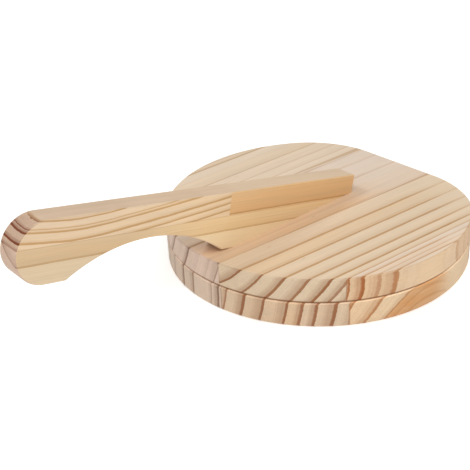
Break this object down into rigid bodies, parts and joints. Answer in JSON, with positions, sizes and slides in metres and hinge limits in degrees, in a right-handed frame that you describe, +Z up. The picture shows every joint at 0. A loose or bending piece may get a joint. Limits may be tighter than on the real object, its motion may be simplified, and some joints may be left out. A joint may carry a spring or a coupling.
{
  "type": "tortilla press",
  "caption": "Hinged wooden press: two round pine boards that close on each other, with a plank handle rising from the upper board to press dough flat.",
  "frame": {"origin": "middle of the round lower board, on its flat underside", "axes": "+X from the middle of the boards towards the grip, +Z up, hinges at -X, press closed"},
  "size_m": [0.3692, 0.24, 0.1143],
  "materials": {
    "pine_lower_board": "bare planed and sanded pine",
    "pine_upper_board": "bare planed and sanded pine",
    "pine_handle_front": "bare planed and sanded pine",
    "pine_handle_rear": "bare planed and sanded pine",
    "pine_handle_lower": "bare planed and sanded pine",
    "hinge_steel": "zinc-plated pressed sheet",
    "pin_steel": "drawn steel wire with riveted heads",
    "screw_steel": "zinc-plated countersunk wood screws"
  },
  "bodies": {
    "base_board": {"lower_board_stave_1": "pine_lower_board", "lower_board_stave_2": "pine_lower_board", "lower_board_stave_3": "pine_lower_board", "lower_board_stave_4": "pine_lower_board", "left_hinge_lower_leaf": "hinge_steel", "left_hinge_pin": "pin_steel", "right_hinge_lower_leaf": "hinge_steel", "right_hinge_pin": "pin_steel", "lower_hinge_screws": "screw_steel"},
    "lid_and_handle": {"upper_board_stave_1": "pine_upper_board", "upper_board_stave_2": "pine_upper_board", "upper_board_stave_3": "pine_upper_board", "upper_board_stave_4": "pine_upper_board", "handle_top_strip_front": "pine_handle_front", "handle_top_strip_rear": "pine_handle_rear", "handle_lower_strip": "pine_handle_lower", "handle_screws": "screw_steel", "left_hinge_upper_leaf": "hinge_steel", "right_hinge_upper_leaf": "hinge_steel", "upper_hinge_screws": "screw_steel"}
  },
  "joints": [
    {"name": "lid_hinge", "type": "hinge", "parent": "base_board", "child": "lid_and_handle", "pos_m": [-0.1035, 0, 0.0192], "axis": [0, -1, 0], "range_deg": [0, 165]}
  ]
}
